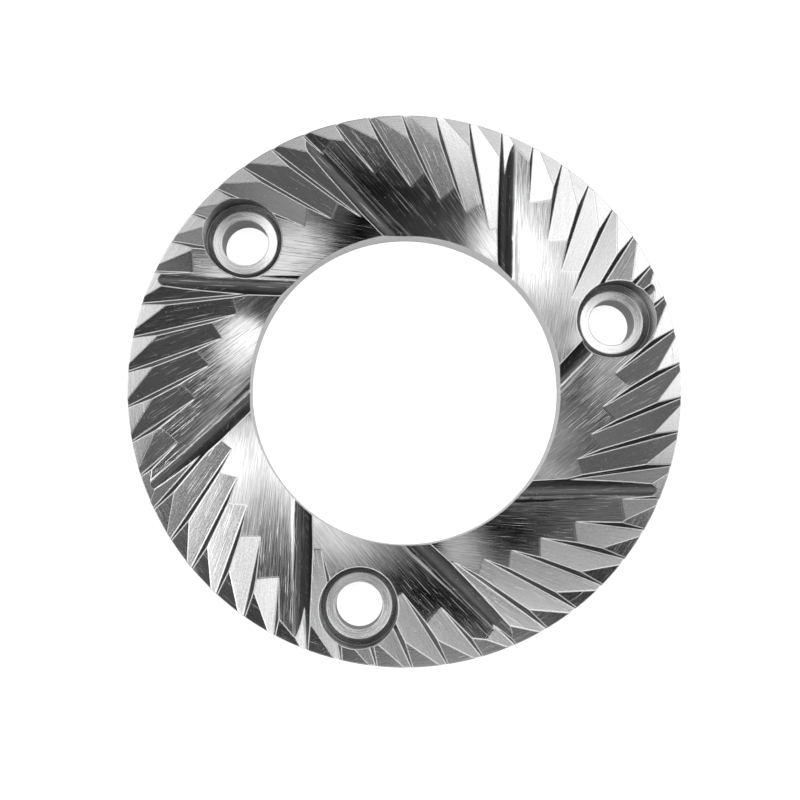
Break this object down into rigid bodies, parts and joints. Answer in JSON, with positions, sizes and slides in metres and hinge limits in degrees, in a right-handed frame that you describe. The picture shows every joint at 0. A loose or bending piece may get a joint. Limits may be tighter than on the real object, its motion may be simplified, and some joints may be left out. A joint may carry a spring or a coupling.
{
  "type": "coffee grinder burr",
  "caption": "Flat ring-shaped grinding burr: a steel disc with a centre bore, counterbored screw holes, broad breaker grooves and fine slanted grinding teeth at the rim.",
  "frame": {"origin": "centre of the flat back face, on the axis of the centre bore", "axes": "+Z along the bore's axis out of the toothed face, +X through the centre of one screw hole"},
  "size_m": [0.064, 0.064, 0.009],
  "materials": {
    "burr_steel": "ground, with fine straight grinding lines"
  },
  "bodies": {
    "root": {"burr": "burr_steel"}
  },
  "joints": []
}
